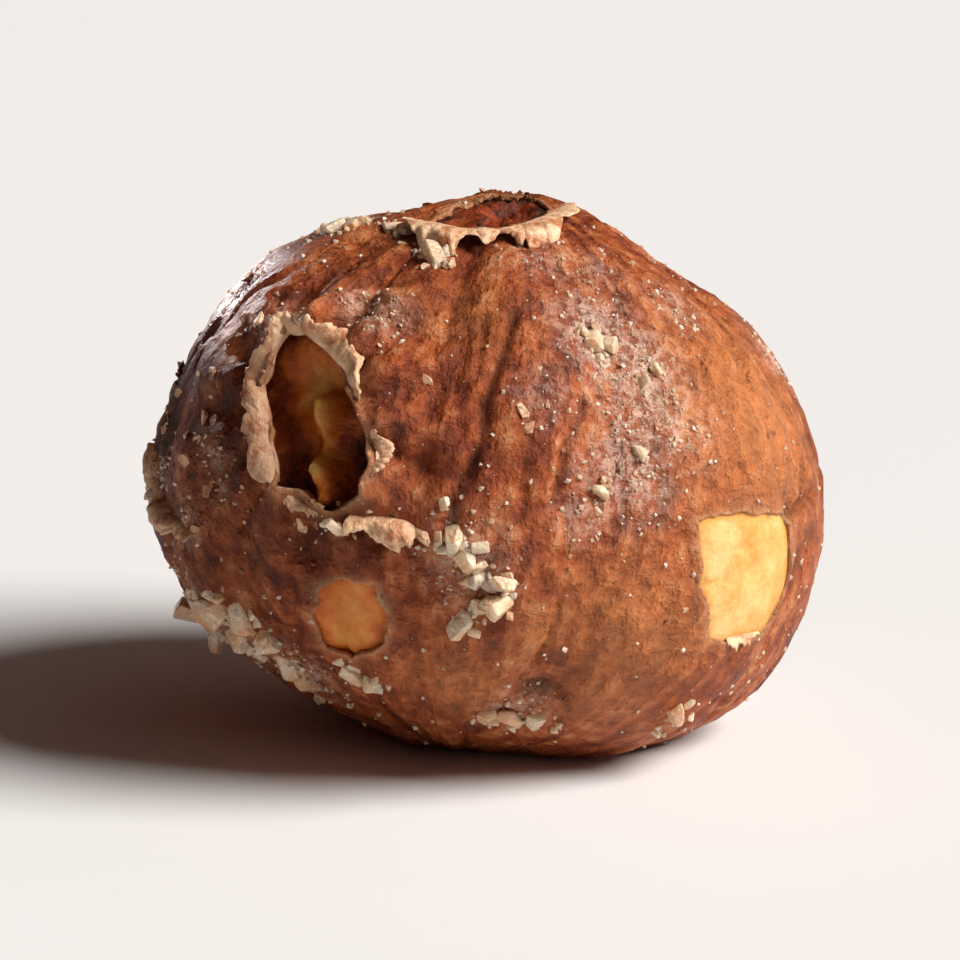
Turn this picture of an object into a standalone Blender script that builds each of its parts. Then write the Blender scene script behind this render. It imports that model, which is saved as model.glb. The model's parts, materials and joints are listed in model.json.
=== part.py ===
"""A roasted, salted hazelnut kernel in its brown skin, lying on a small flat spot.

The kernel and its skin grew as one piece, so they are one closed solid. Where the skin has flaked off it is
cut back to the kernel below, torn skin stands up in curls round the openings, and grains of salt stick to it.
Sizes are in millimetres, and MM turns them into Blender's metres.
"""

import math
import random

import bmesh
import bpy
import numpy as np
from mathutils import Matrix, Vector

MM = 0.001

# The kernel: front outline as x and height, its depth, and how square its middle is
FRONT_OUTLINE = [
    (7.15, 5.1), (6.95, 6.6), (6.2, 7.85), (5.2, 9.05), (4.0, 9.95), (2.6, 10.7), (1.1, 11.15), (-0.7, 11.2),
    (-3.5, 10.65), (-4.8, 10.05), (-5.7, 9.1), (-6.55, 7.6), (-7.15, 5.7), (-7.05, 4.3), (-6.5, 3.05),
    (-5.2, 1.75), (-3.2, 0.35), (-1.2, -0.4), (1.0, -0.5), (3.2, -0.35), (4.8, 0.3), (6.1, 1.6), (6.85, 3.15),
]
OUTLINE_WAVES = 6
HALF_DEPTH_FRONT = 6.5
HALF_DEPTH_BACK = 6.3
MIDDLE_HEIGHT = 5.75
ROUNDNESS = 2.05

# The tip, the furrows that run from it to the base, and three broad swells
TIP_AXIS = (0.10, 0.24, 0.96)
TIP_HEIGHT = 0.4
TIP_SPREAD = 0.22
FURROWS = 11
FURROW_DEPTH = 0.3
SWELLS = [((-0.45, -0.6, -0.65), -0.4, 0.42), ((0.3, -0.5, -0.8), -0.15, 0.4), ((-0.2, 0.9, 0.1), 0.15, 0.5)]

# The skin: how far it stands over the kernel, and how deep the torn opening goes
SKIN_DEPTH = 0.28
TEAR_DEPTH = 0.5
PUCKERS = 11
PUCKER_DEPTH = 0.13

# How steeply the views below look down, in degrees, and where their lowest line lies
VIEW_TILT = 15.0
VIEW_BOTTOM = -0.35

# Bare places: (name, view azimuth, depth, corners as x to the right and height in that view)
TEAR_MIDDLE = (-3.75, 7.0)
BARE_PLACES = [
    ("tear", 0, TEAR_DEPTH, [(-4.0, 8.9), (-3.45, 8.3), (-2.6, 8.2), (-2.75, 7.3), (-2.3, 6.5), (-2.9, 6.1),
                             (-3.2, 5.2), (-3.9, 5.6), (-4.6, 5.5), (-4.6, 6.6), (-5.0, 7.6), (-4.4, 7.9)]),
    ("square_patch", 0, SKIN_DEPTH, [(4.3, 4.85), (5.3, 4.95), (6.2, 5.0), (6.3, 4.1), (6.25, 3.4), (5.8, 2.5),
                                     (5.2, 2.3), (4.6, 2.25), (4.45, 3.5)]),
    ("round_patch", 0, SKIN_DEPTH, [(-2.05, 2.85), (-2.3, 3.45), (-2.85, 3.65), (-3.45, 3.35), (-3.6, 2.8),
                                    (-3.3, 2.2), (-2.75, 2.0), (-2.2, 2.25)]),
    ("tip_notch", 0, SKIN_DEPTH, [(1.55, 11.4), (0.6, 11.75), (-0.7, 11.6), (-1.9, 11.2), (-1.1, 10.75),
                                  (0.3, 10.75), (1.1, 11.1)]),
    ("back_patch", 165, SKIN_DEPTH, [(2.9, 8.6), (1.6, 9.1), (0.3, 8.5), (-0.4, 7.3), (0.2, 6.3), (1.3, 5.7),
                                     (2.4, 6.2), (3.4, 7.1)]),
    ("left_patch", 250, SKIN_DEPTH, [(2.2, 5.2), (1.5, 5.9), (0.4, 5.7), (0.1, 4.7), (0.9, 4.0), (1.9, 4.3)]),
    ("right_patch", 108, SKIN_DEPTH, [(1.7, 7.9), (0.9, 8.4), (0.2, 7.8), (0.5, 7.0), (1.3, 7.0)]),
]
EDGE_STEPS = 3
EDGE_RAGGEDNESS = 0.07

# Curls of torn skin: (view azimuth, root from, root to, away from, radius of the curl, turn in degrees)
CURLS = [
    (0, (-4.95, 7.7), (-4.55, 5.5), TEAR_MIDDLE, 0.32, 165),
    (0, (-3.5, 8.35), (-2.6, 7.5), TEAR_MIDDLE, 0.27, 170),
    (0, (-4.2, 8.75), (-3.7, 8.6), TEAR_MIDDLE, 0.26, 140),
    (0, (-2.9, 5.75), (-2.3, 6.4), TEAR_MIDDLE, 0.24, 150),
    (0, (-3.35, 5.4), (-3.3, 6.4), (-5.2, 6.0), 0.75, 50),
    (0, (-2.4, 4.8), (-1.6, 5.0), (-2.0, 5.8), 0.3, 150),
    (0, (-2.0, 11.0), (-0.6, 10.7), (-0.2, 11.6), 0.26, 150),
    (0, (0.2, 10.75), (1.4, 11.2), (-0.2, 11.6), 0.26, 150),
    (0, (4.35, 4.9), (4.5, 3.0), (5.3, 3.8), 0.22, 110),
    (165, (0.1, 8.2), (-0.2, 6.6), (1.5, 7.4), 0.32, 165),
    (165, (1.4, 5.75), (2.6, 6.3), (1.5, 7.4), 0.26, 150),
    (250, (0.5, 5.7), (1.6, 5.85), (1.1, 4.9), 0.28, 150),
    (108, (0.3, 7.7), (0.5, 7.1), (1.0, 7.7), 0.26, 150),
]
CURL_THICKNESS = 0.2
CURL_STATIONS = 5
CURL_STEPS = 3

# Salt grains: (view azimuth, x, height, size), then a seeded scatter over the rest of the skin
SALT_GRAINS = [
    (0, -3.3, 10.8, 0.7), (0, -2.7, 11.0, 0.6), (0, -1.4, 10.6, 0.6), (0, -0.5, 10.35, 0.55),
    (0, -6.95, 5.9, 0.7), (0, -6.9, 5.1, 0.75),
    (0, -6.3, 2.75, 0.95), (0, -5.6, 2.95, 0.9), (0, -5.05, 2.75, 0.85), (0, -5.9, 2.4, 0.8), (0, -5.3, 2.35, 0.7),
    (0, -4.5, 2.2, 0.7), (0, -4.2, 1.6, 0.75), (0, -3.6, 1.3, 0.7), (0, -2.6, 1.65, 0.85),
    (0, -0.5, 4.15, 0.75), (0, 0.1, 3.3, 1.0), (0, -0.3, 3.7, 0.7), (0, -0.75, 2.7, 0.65), (0, -3.0, 4.7, 0.6),
    (0, 0.3, 0.75, 0.7), (0, 0.9, 0.7, 0.65), (0, 3.9, 0.8, 0.7),
    (0, 2.2, 8.5, 0.65), (0, 3.2, 7.6, 0.5), (0, 2.3, 5.4, 0.6), (0, 3.1, 6.2, 0.5),
]
SCATTER_COUNT = 84
SCATTER_SIZE = (0.4, 0.8)
SCATTER_FACING = -0.3
SALT_SUNK = 0.22
SALT_CORNER_JITTER = 0.16
BARE_CLEARANCE = 0.25
LOWEST_SCATTER = 1.3
SEED = 23
SMOOTH_ANGLE = 40
SKIN_COLOUR = (0.29, 0.085, 0.035)
SKIN_ROUGHNESS = 0.55

# Where the kernel stands, so that the origin is under the middle of its box
STAND_SHIFT = (0.14, 0.1)


def clear_scene():
    for thing in list(bpy.data.objects):
        bpy.data.objects.remove(thing)


def make_material(name, colour, roughness):
    material = bpy.data.materials.new(name)
    material.use_nodes = True
    shader = material.node_tree.nodes["Principled BSDF"]
    shader.inputs["Base Color"].default_value = (*colour, 1.0)
    shader.inputs["Roughness"].default_value = roughness
    shader.inputs["Metallic"].default_value = 0.0
    return material


def unit(vectors):
    vectors = np.asarray(vectors, float)
    return vectors / np.linalg.norm(vectors, axis=-1, keepdims=True)


def wave_terms(angles):
    """The terms of a smooth closed curve, as columns, at these angles."""
    columns = [np.ones_like(angles)]
    for wave in range(1, OUTLINE_WAVES + 1):
        columns += [np.cos(wave * angles), np.sin(wave * angles)]
    return np.stack(columns, axis=-1)


def fit_outline():
    points = np.array(FRONT_OUTLINE) - (0.0, MIDDLE_HEIGHT)
    angles = np.arctan2(points[:, 1], points[:, 0])
    return np.linalg.lstsq(wave_terms(angles), np.hypot(points[:, 0], points[:, 1]), rcond=None)[0]


OUTLINE_CURVE = fit_outline()
TIP = unit(TIP_AXIS)
TIP_SIDE = unit(np.cross((0.0, 1.0, 0.0), TIP))
TIP_FRONT = np.cross(TIP_SIDE, TIP)


def body_radius(directions):
    """The plain form of the kernel: the front outline, carried round by its depth, with the broad swells."""
    front = wave_terms(np.arctan2(directions[:, 2], directions[:, 0])) @ OUTLINE_CURVE
    across = np.hypot(directions[:, 0], directions[:, 2])
    half_depth = np.where(directions[:, 1] < 0, HALF_DEPTH_FRONT, HALF_DEPTH_BACK)
    power = (across / front) ** ROUNDNESS + (np.abs(directions[:, 1]) / half_depth) ** ROUNDNESS
    radius = power ** (-1 / ROUNDNESS)
    for towards, height, spread in SWELLS:
        radius += height * np.exp((directions @ unit(towards) - 1) / spread ** 2)
    return radius


def furrow_relief(directions):
    """Round ridges with sharp furrows between them, which fade out at the tip and the base."""
    around = np.arctan2(directions @ TIP_SIDE, directions @ TIP_FRONT)
    along = np.sqrt(np.clip(1 - (directions @ TIP) ** 2, 0, 1))
    uneven = around + 0.22 * np.sin(2 * around + 1.1) + 0.12 * np.sin(3 * around + 2.3)
    return FURROW_DEPTH * along ** 2 * (np.abs(np.sin(FURROWS * uneven / 2)) ** 0.8 - 0.7)


def kernel_radius(directions):
    """The kernel with its tip and furrows, as the outer face of the skin follows it."""
    tip = TIP_HEIGHT * np.exp((directions @ TIP - 1) / TIP_SPREAD ** 2)
    return body_radius(directions) + furrow_relief(directions) + tip


def pucker_relief(directions, middle):
    """Folds that run outwards from the torn opening, with a raised rim round it."""
    side = unit(np.cross((0.0, 0.0, 1.0), middle))
    up = np.cross(middle, side)
    x = directions @ side
    y = directions @ up
    away = np.hypot(x, y) * MIDDLE_HEIGHT
    facing = directions @ middle > 0
    folds = PUCKER_DEPTH * np.sin(PUCKERS * np.arctan2(y, x) + 0.6) * np.exp(-(((away - 2.1) / 0.9) ** 2))
    rim = 0.18 * np.exp(-(((away - 1.75) / 0.5) ** 2))
    return np.where(facing, folds + rim, 0.0)


def skin_radius(directions):
    return kernel_radius(directions) + pucker_relief(directions, TEAR_DIRECTION)


def seen_direction(azimuth, x, height, radius_of=kernel_radius):
    """The direction, from the kernel's middle, of the point seen at x and height in the view from azimuth."""
    tilt = math.radians(VIEW_TILT)
    turn = math.radians(azimuth)
    right = np.array((math.cos(turn), math.sin(turn), 0.0))
    inwards = np.array((-math.sin(turn) * math.cos(tilt), math.cos(turn) * math.cos(tilt), -math.sin(tilt)))
    up = np.cross(right, inwards)
    middle_height = MIDDLE_HEIGHT * math.cos(tilt) - VIEW_BOTTOM
    across = right * x + up * (height - middle_height)
    near, far = -12.0, 0.0
    for _ in range(40):
        half = (near + far) / 2
        point = across + inwards * half
        reach = np.linalg.norm(point)
        outside = reach > radius_of(unit(point)[None, :])[0]
        near, far = (half, far) if outside else (near, half)
    return unit(across + inwards * far)


TEAR_DIRECTION = seen_direction(0, *TEAR_MIDDLE)


def to_point(direction, radius):
    """A point of the object, in metres, from its direction and its distance from the kernel's middle."""
    x, y, z = direction * radius
    return Vector(((x + STAND_SHIFT[0]) * MM, (y + STAND_SHIFT[1]) * MM, (z + MIDDLE_HEIGHT) * MM))


def link(name, mesh, material=None):
    thing = bpy.data.objects.new(name, mesh)
    bpy.context.scene.collection.objects.link(thing)
    if material:
        mesh.materials.append(material)
    return thing


def from_bmesh(name, bm):
    bmesh.ops.recalc_face_normals(bm, faces=bm.faces)
    mesh = bpy.data.meshes.new(name)
    bm.to_mesh(mesh)
    bm.free()
    return link(name, mesh)


def make_body(material):
    bm = bmesh.new()
    bmesh.ops.create_icosphere(bm, subdivisions=5, radius=1.0)
    directions = unit([v.co for v in bm.verts])
    for vertex, direction, radius in zip(bm.verts, directions, skin_radius(directions)):
        vertex.co = to_point(direction, radius)
    body = from_bmesh("hazelnut", bm)
    body.data.materials.append(material)
    return body


def ragged_edge(corners, draw):
    """The corners of a bare place, with uneven steps of torn skin between them."""
    points = []
    for (x0, y0), (x1, y1) in zip(corners, corners[1:] + corners[:1]):
        for step in range(EDGE_STEPS):
            share = step / EDGE_STEPS
            reach = EDGE_RAGGEDNESS if step else 0.0
            points.append((x0 + (x1 - x0) * share + draw.uniform(-reach, reach),
                           y0 + (y1 - y0) * share + draw.uniform(-reach, reach)))
    return points


def make_patch_cutter(name, azimuth, depth, corners, draw):
    """A closed plug whose inner face follows the kernel, depth below the skin, inside the ragged edge."""
    edge = np.array([seen_direction(azimuth, x, y) for x, y in ragged_edge(corners, draw)])
    middle = unit(edge.mean(axis=0))
    bm = bmesh.new()
    shells = []
    for lift in (-depth, 1.2):
        rings = []
        for share in (0.35, 0.7, 1.0):
            ring = unit(middle + (edge - middle) * share)
            rings.append([bm.verts.new(to_point(d, r + lift)) for d, r in zip(ring, kernel_radius(ring))])
        centre = bm.verts.new(to_point(middle, kernel_radius(middle[None, :])[0] + lift))
        shells.append((centre, rings))
    count = len(edge)
    for centre, rings in shells:
        for i in range(count):
            j = (i + 1) % count
            bm.faces.new((centre, rings[0][i], rings[0][j]))
            for inner, outer in zip(rings, rings[1:]):
                bm.faces.new((inner[i], outer[i], outer[j], inner[j]))
    for i in range(count):
        j = (i + 1) % count
        bm.faces.new((shells[0][1][-1][i], shells[1][1][-1][i], shells[1][1][-1][j], shells[0][1][-1][j]))
    cutter = from_bmesh(name + "_cutter", bm)
    cutter.hide_render = True
    cutter.display_type = "WIRE"
    return cutter


def make_curl(index, azimuth, start, end, away_from, radius, turn, draw):
    """A curl of torn skin: it rises from the edge of an opening and rolls back over the skin."""
    bm = bmesh.new()
    centre_direction = seen_direction(azimuth, *away_from)
    rings = []
    for station in range(CURL_STATIONS):
        share = station / (CURL_STATIONS - 1)
        x = start[0] + (end[0] - start[0]) * share
        y = start[1] + (end[1] - start[1]) * share
        outwards = seen_direction(azimuth, x, y)
        foot = outwards * (skin_radius(outwards[None, :])[0] - 0.18)
        away = unit(outwards - centre_direction * (outwards @ centre_direction))
        away = unit(away - outwards * (away @ outwards))
        width = math.sin(math.pi * (0.12 + 0.76 * share)) * draw.uniform(0.85, 1.1)
        roll = radius * (0.55 + 0.45 * width)
        angles = [math.radians(turn) * width * step / CURL_STEPS for step in range(CURL_STEPS + 1)]
        outer_face = [(roll + CURL_THICKNESS / 2, angle) for angle in angles]
        inner_face = [(roll - CURL_THICKNESS / 2, angle) for angle in reversed(angles)]
        ring = []
        for reach, angle in outer_face + inner_face:
            point = foot + away * (roll - reach * math.cos(angle)) + outwards * (reach * math.sin(angle))
            ring.append(bm.verts.new(to_point(unit(point), np.linalg.norm(point))))
        rings.append(ring)
    for ring, after in zip(rings, rings[1:]):
        for i in range(len(ring)):
            j = (i + 1) % len(ring)
            bm.faces.new((ring[i], ring[j], after[j], after[i]))
    for ring in (rings[0], rings[-1]):
        for step in range(CURL_STEPS):
            last = len(ring) - 1 - step
            bm.faces.new((ring[step], ring[step + 1], ring[last - 1], ring[last]))
    return from_bmesh(f"curl_{index}", bm)


def make_grain(index, direction, size, draw):
    """A blocky grain of salt, no two alike, sunk into the skin."""
    bm = bmesh.new()
    bmesh.ops.create_cube(bm, size=1.0)
    stretch = Vector((draw.uniform(0.8, 1.25), draw.uniform(0.75, 1.0), draw.uniform(0.65, 0.95)))
    for vertex in bm.verts:
        jitter = Vector([draw.uniform(-SALT_CORNER_JITTER, SALT_CORNER_JITTER) for _ in range(3)])
        vertex.co = Vector(a * b for a, b in zip(vertex.co + jitter, stretch)) * size * MM
    upright = Vector(direction).to_track_quat("Z", "Y").to_matrix()
    lean = Matrix.Rotation(draw.uniform(-0.5, 0.5), 3, "X") @ Matrix.Rotation(draw.uniform(-0.5, 0.5), 3, "Y")
    spin = Matrix.Rotation(draw.uniform(0, math.tau), 3, "Z")
    place = Matrix.Translation(to_point(direction, skin_radius(direction[None, :])[0] + size * SALT_SUNK))
    bm.transform(place @ (upright @ lean @ spin).to_4x4())
    bmesh.ops.triangulate(bm, faces=bm.faces)
    return from_bmesh(f"grain_{index}", bm)


def scatter_directions(draw):
    """Even, slightly shaken places on the sides that the placed grains leave, clear of bare places and base."""
    towards_front = np.array((0.0, -math.cos(math.radians(VIEW_TILT)), math.sin(math.radians(VIEW_TILT))))
    bare = []
    for _, azimuth, _, corners in BARE_PLACES:
        edge = np.array([seen_direction(azimuth, x, y) for x, y in corners])
        middle = unit(edge.mean(axis=0))
        bare.append((middle, np.arccos(np.clip(edge @ middle, -1, 1)).max() + BARE_CLEARANCE / MIDDLE_HEIGHT))
    placed = [seen_direction(azimuth, x, y) for azimuth, x, y, _ in SALT_GRAINS]
    golden = math.pi * (3 - math.sqrt(5))
    found = []
    for i in range(SCATTER_COUNT):
        z = 1 - 2 * (i + 0.5) / SCATTER_COUNT
        flat = math.sqrt(1 - z * z)
        shake = [draw.uniform(-0.13, 0.13) for _ in range(3)]
        direction = unit(np.array((flat * math.cos(golden * i), flat * math.sin(golden * i), z)) + shake)
        height = MIDDLE_HEIGHT + direction[2] * kernel_radius(direction[None, :])[0]
        on_bare = any(math.acos(min(1.0, float(direction @ middle))) < reach for middle, reach in bare)
        by_grain = any(float(direction @ other) > math.cos(0.16) for other in placed)
        in_front = float(direction @ towards_front) > SCATTER_FACING
        if height > LOWEST_SCATTER and not (on_bare or by_grain or in_front):
            found.append(direction)
    return found


def add_boolean(thing, operation, operand=None, collection=None):
    modifier = thing.modifiers.new(operation.lower(), "BOOLEAN")
    modifier.operation = operation
    modifier.solver = "EXACT"
    if collection:
        modifier.operand_type = "COLLECTION"
        modifier.collection = collection
    else:
        modifier.object = operand


def apply_modifiers(thing):
    """Turns what the modifiers give into the object's own mesh."""
    evaluated = thing.evaluated_get(bpy.context.evaluated_depsgraph_get())
    old = thing.data
    thing.data = bpy.data.meshes.new_from_object(evaluated)
    thing.data.name = thing.name
    thing.modifiers.clear()
    bpy.data.meshes.remove(old)


def cut_bare_places(body, draw):
    cutters = [make_patch_cutter(*place, draw) for place in BARE_PLACES]
    for cutter in cutters:
        add_boolean(body, "DIFFERENCE", cutter)
    apply_modifiers(body)
    for cutter in cutters:
        bpy.data.objects.remove(cutter)


def fuse_repeats(body, draw):
    """Joins the curls and the salt to the skin in one union, and removes the loose ones."""
    repeats = [make_curl(i, *curl, draw) for i, curl in enumerate(CURLS)]
    grains = [(seen_direction(azimuth, x, y), size) for azimuth, x, y, size in SALT_GRAINS]
    grains += [(direction, draw.uniform(*SCATTER_SIZE)) for direction in scatter_directions(draw)]
    repeats += [make_grain(i, direction, size, draw) for i, (direction, size) in enumerate(grains)]
    group = bpy.data.collections.new("stuck_on")
    bpy.context.scene.collection.children.link(group)
    for repeat in repeats:
        bpy.context.scene.collection.objects.unlink(repeat)
        group.objects.link(repeat)
    add_boolean(body, "UNION", collection=group)
    apply_modifiers(body)
    for repeat in repeats:
        bpy.data.objects.remove(repeat)
    bpy.data.collections.remove(group)


def keep_main_body(body):
    """Fills a hollow that fusing has sealed, and drops a loose scrap: both are islands apart from the main one."""
    bm = bmesh.new()
    bm.from_mesh(body.data)
    left = set(bm.verts)
    islands = []
    while left:
        island = {left.pop()}
        front = list(island)
        while front:
            vertex = front.pop()
            near = {edge.other_vert(vertex) for edge in vertex.link_edges} & left
            left -= near
            island |= near
            front.extend(near)
        islands.append(island)
    islands.sort(key=len)
    for island in islands[:-1]:
        bmesh.ops.delete(bm, geom=list(island), context="VERTS")
    bm.to_mesh(body.data)
    bm.free()


def shade(body):
    body.data.shade_smooth()
    body.data.set_sharp_from_angle(angle=math.radians(SMOOTH_ANGLE))


def cut_flat_spot(body):
    """Takes off what would reach below the table, which leaves the flat spot that it rests on."""
    bm = bmesh.new()
    bmesh.ops.create_cube(bm, size=1.0)
    side = 30 * MM
    bm.transform(Matrix.Translation((0, 0, -side / 2)) @ Matrix.Diagonal((side, side, side, 1)))
    table = from_bmesh("table_cutter", bm)
    add_boolean(body, "DIFFERENCE", table)
    apply_modifiers(body)
    bpy.data.objects.remove(table)


def main():
    clear_scene()
    draw = random.Random(SEED)
    body = make_body(make_material("roasted_hazelnut_skin", SKIN_COLOUR, SKIN_ROUGHNESS))
    cut_bare_places(body, draw)
    fuse_repeats(body, draw)
    cut_flat_spot(body)
    keep_main_body(body)
    shade(body)
    low = [min(v.co[axis] for v in body.data.vertices) / MM for axis in range(3)]
    high = [max(v.co[axis] for v in body.data.vertices) / MM for axis in range(3)]
    print("box in mm", [round(x, 3) for x in low], [round(x, 3) for x in high], len(body.data.polygons))


main()
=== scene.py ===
import json
import math
import random
from functools import cache, partial

import bmesh
import bpy
import numpy as np
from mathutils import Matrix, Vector, noise

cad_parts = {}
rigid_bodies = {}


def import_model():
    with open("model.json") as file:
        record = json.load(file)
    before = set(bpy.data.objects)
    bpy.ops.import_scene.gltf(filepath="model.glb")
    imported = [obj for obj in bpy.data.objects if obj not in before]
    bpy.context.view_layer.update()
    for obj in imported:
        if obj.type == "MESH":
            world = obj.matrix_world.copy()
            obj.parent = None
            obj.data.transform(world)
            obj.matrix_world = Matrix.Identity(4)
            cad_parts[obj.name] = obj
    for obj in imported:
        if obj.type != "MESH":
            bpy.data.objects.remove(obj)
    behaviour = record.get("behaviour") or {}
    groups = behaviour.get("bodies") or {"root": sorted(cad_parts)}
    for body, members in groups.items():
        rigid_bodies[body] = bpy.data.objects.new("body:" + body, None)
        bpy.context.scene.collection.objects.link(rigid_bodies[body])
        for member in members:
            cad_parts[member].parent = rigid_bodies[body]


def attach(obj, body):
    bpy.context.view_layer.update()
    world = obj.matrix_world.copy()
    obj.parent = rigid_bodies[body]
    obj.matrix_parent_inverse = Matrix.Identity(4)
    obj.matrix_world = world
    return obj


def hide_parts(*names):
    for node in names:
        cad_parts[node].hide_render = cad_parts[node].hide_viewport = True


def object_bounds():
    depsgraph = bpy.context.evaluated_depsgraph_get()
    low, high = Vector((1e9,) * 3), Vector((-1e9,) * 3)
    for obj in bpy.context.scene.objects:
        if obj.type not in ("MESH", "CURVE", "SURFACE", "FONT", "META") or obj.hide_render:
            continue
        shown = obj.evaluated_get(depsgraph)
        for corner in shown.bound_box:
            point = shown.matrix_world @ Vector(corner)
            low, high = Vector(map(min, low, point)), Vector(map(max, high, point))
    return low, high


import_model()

cadLow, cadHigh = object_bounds()
mm = 0.001  # sizes below are in millimetres, and this turns them into metres
node = "hazelnut"


def toLinear(hexColour):
    parts = [int(hexColour[i:i + 2], 16) / 255 for i in (1, 3, 5)]
    return [p / 12.92 if p <= 0.04045 else ((p + 0.055) / 1.055) ** 2.4 for p in parts] + [1.0]


def addNode(tree, kind, settings=None, links=None):
    # a setting is the node's own or a socket's, by name or number; a linked node gives its first live output
    added = tree.nodes.new(kind)

    def socket(key):
        return added.inputs[key] if isinstance(key, int) else next(
            s for s in added.inputs if s.name == key and s.enabled)

    for key, value in (settings or {}).items():
        if isinstance(value, str) and value.startswith("#"):
            value = toLinear(value)
        if key == "stops":
            for place, colour in value[2:]:
                added.color_ramp.elements.new(place)
            for element, (place, colour) in zip(added.color_ramp.elements, sorted(value)):
                element.position = place
                element.color = toLinear(colour)
        elif isinstance(key, str) and hasattr(added, key):
            setattr(added, key, value)
        else:
            socket(key).default_value = value
    for key, source in (links or {}).items():
        if isinstance(source, bpy.types.Node):
            source = next(s for s in source.outputs if s.enabled)
        tree.links.new(source, socket(key))
    return added


def newObject(name, data):
    made = bpy.data.objects.new(name, data)
    bpy.context.scene.collection.objects.link(made)
    return made


# Camera, floor and light
print("stage: camera, floor and light")
studio = {
    "lookDown": 15.0,  # degrees, as in the photo
    "lens": 200,  # long, so that the near side isn't swollen
    "frameWidth": 20.5,  # mm that the frame takes in at the kernel
    "aimHeight": 5.5, "clipStart": 5,
    "floorRadius": 2000, "floorSides": 96, "floorColour": "#e8eaeb", "floorRough": 0.7,
    "airLeft": "#8a3a12", "airRight": "#faf1e8",  # the room is dark and warm on the left
    "strengthLeft": 0.12, "strengthRight": 0.3, "airTurn": -0.35,
    "keyFrom": (168, -52, 152), "keyStrength": 5.15, "keyColour": "#fffaf5", "keySpread": 30,
    # a narrow lamp behind the kernel, which it alone reaches, for the gloss on its shoulder
    "rimFrom": (-60, 133, 46), "rimAim": (-5.4, 1.0, 9.3), "rimSize": 2, "rimSpread": 1.2,
    "rimColour": "#fff4f4", "rimWatts": 0.000032,
}


def aimLamp(kind, name, place, aim, colour, power):
    lamp = newObject(name, bpy.data.lights.new(name, kind))
    lamp.location = Vector(place) * mm
    lamp.rotation_euler = (lamp.location - Vector(aim) * mm).to_track_quat("Z", "Y").to_euler()
    lamp.data.color = toLinear(colour)[:3]
    lamp.data.energy = power
    return lamp


pieces = bpy.data.collections.new("pieces")  # what the rim lamp lights


def makeStudio():
    scene = bpy.context.scene
    aim = Vector((0, 0, studio["aimHeight"])) * mm
    tilt = math.radians(studio["lookDown"])
    camera = newObject("camera", bpy.data.cameras.new("camera"))
    camera.data.lens = studio["lens"]
    camera.data.clip_start = studio["clipStart"] * mm
    distance = studio["frameWidth"] * mm * studio["lens"] / camera.data.sensor_width
    back = Vector((0, -math.cos(tilt), math.sin(tilt)))
    camera.location = aim + back * distance
    camera.rotation_euler = (-back).to_track_quat("-Z", "Y").to_euler()
    scene.camera = camera
    key = aimLamp("SUN", "key", studio["keyFrom"], (0, 0, 0), studio["keyColour"], studio["keyStrength"])
    key.data.angle = math.radians(studio["keySpread"])
    rim = aimLamp("AREA", "rimBox", studio["rimFrom"], studio["rimAim"], studio["rimColour"],
                  studio["rimWatts"])
    rim.data.size = studio["rimSize"] * mm
    rim.data.spread = math.radians(studio["rimSpread"])
    rim.light_linking.receiver_collection = pieces
    scene.world = bpy.data.worlds.new("studioAir")
    scene.world.use_nodes = True
    tree = scene.world.node_tree
    add = partial(addNode, tree)
    sides = add("ShaderNodeSeparateXYZ", {}, {0: add("ShaderNodeTexCoord").outputs["Generated"]})
    share = add("ShaderNodeMapRange", {"From Min": studio["airTurn"]}, {"Value": sides.outputs["X"]})
    tint = add("ShaderNodeMix", {"data_type": "RGBA", "A": studio["airLeft"], "B": studio["airRight"]},
               {"Factor": share})
    glow = add("ShaderNodeMapRange", {"To Min": studio["strengthLeft"], "To Max": studio["strengthRight"]},
               {"Value": share})
    air = tree.nodes["Background"]
    tree.links.new(tint.outputs["Result"], air.inputs["Color"])
    tree.links.new(glow.outputs[0], air.inputs["Strength"])
    scene.view_settings.view_transform = "Standard"
    bm = bmesh.new()
    bmesh.ops.create_circle(bm, cap_ends=True, segments=studio["floorSides"],
                            radius=studio["floorRadius"] * mm)
    mesh = bpy.data.meshes.new("floor")
    bm.to_mesh(mesh)
    bm.free()
    board = bpy.data.materials.new("matteBoard")  # painted board: flat and nearly white
    board.use_nodes = True
    shader = board.node_tree.nodes["Principled BSDF"]
    shader.inputs["Base Color"].default_value = toLinear(studio["floorColour"])
    shader.inputs["Roughness"].default_value = studio["floorRough"]
    mesh.materials.append(board)
    newObject("floor", mesh)


makeStudio()

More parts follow.
